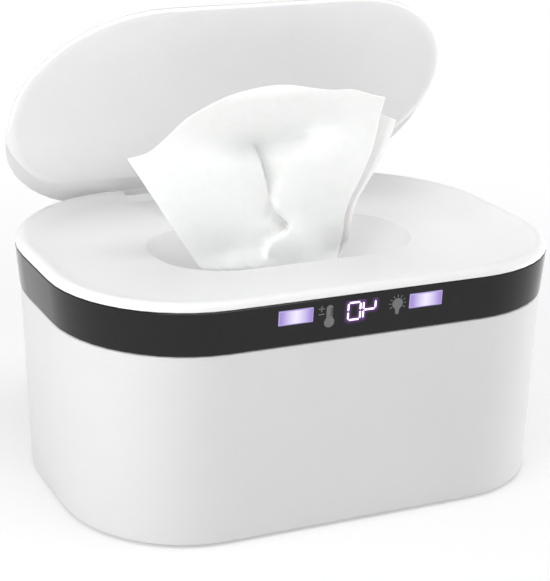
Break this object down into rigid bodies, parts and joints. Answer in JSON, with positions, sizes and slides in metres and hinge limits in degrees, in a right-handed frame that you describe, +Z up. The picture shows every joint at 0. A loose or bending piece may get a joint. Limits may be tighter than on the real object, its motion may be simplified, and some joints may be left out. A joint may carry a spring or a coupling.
{
  "type": "wipe warmer",
  "caption": "Rounded wipe warmer with a tapered tub housing, gloss display band, lift-off top cover with a dispensing bowl, and a flip lid open over a raised wipe.",
  "frame": {"origin": "on the surface the feet stand on, under the middle of the whole object with its lid open as pictured; the body's own middle lies 4.7 mm in front of it", "axes": "+X along the body's length to the right as seen from the display side, -Y towards the display, +Z up"},
  "size_m": [0.23, 0.1854, 0.2087],
  "materials": {
    "white_shell": "fine satin ABS",
    "liner_grey": "matte",
    "gloss_black": "piano gloss",
    "tub_grey": "satin polypropylene",
    "foot_rubber": "matte rubber",
    "silicone": "soft silicone",
    "steel": "zinc plated",
    "aluminium": "rolled sheet",
    "heater_film": "polyimide film with etched tracks",
    "insulation_foam": "foamed sheet",
    "board": "solder mask",
    "black_plastic": "moulded",
    "lit_window": "lit translucent window",
    "light_guide": "frosted clear plastic",
    "digit_face": "display module",
    "wipe_cloth": "non-woven cloth",
    "acetal": "smooth acetal"
  },
  "bodies": {
    "base": {"outer_housing": "white_shell", "base_plate": "white_shell", "foot_front_left": "foot_rubber", "foot_front_right": "foot_rubber", "foot_rear_left": "foot_rubber", "foot_rear_right": "foot_rubber", "base_screw_front_left": "steel", "base_screw_front_right": "steel", "base_screw_rear_left": "steel", "base_screw_rear_right": "steel", "inner_tub": "tub_grey", "heater_plate": "aluminium", "heater_film": "heater_film", "insulation_pad": "insulation_foam", "thermistor": "black_plastic", "thermal_fuse": "steel", "control_board": "board", "dc_jack": "black_plastic", "accent_band": "gloss_black", "light_window_left": "lit_window", "light_window_right": "lit_window", "light_guide_left": "light_guide", "light_guide_right": "light_guide", "digit_display": "digit_face", "display_board": "board", "wipe_stack": "wipe_cloth"},
    "top_cover": {"cover_deck": "white_shell", "cover_gasket": "silicone", "dispensing_seal": "silicone", "pop_up_wipe": "wipe_cloth", "hinge_pin_left": "steel", "hinge_pin_right": "steel"},
    "flip_lid": {"lid_shell": "white_shell", "lid_liner": "liner_grey", "friction_bush_left": "acetal", "friction_bush_right": "acetal"}
  },
  "joints": [
    {"name": "cover_lift", "type": "slide", "parent": "base", "child": "top_cover", "axis": [0, 0, 1], "range_m": [0, 0.12]},
    {"name": "lid_hinge", "type": "hinge", "parent": "top_cover", "child": "flip_lid", "pos_m": [0, 0.07989, 0.1007], "axis": [-1, 0, 0], "range_deg": [-54, 0], "deforming": ["pop_up_wipe"]}
  ]
}
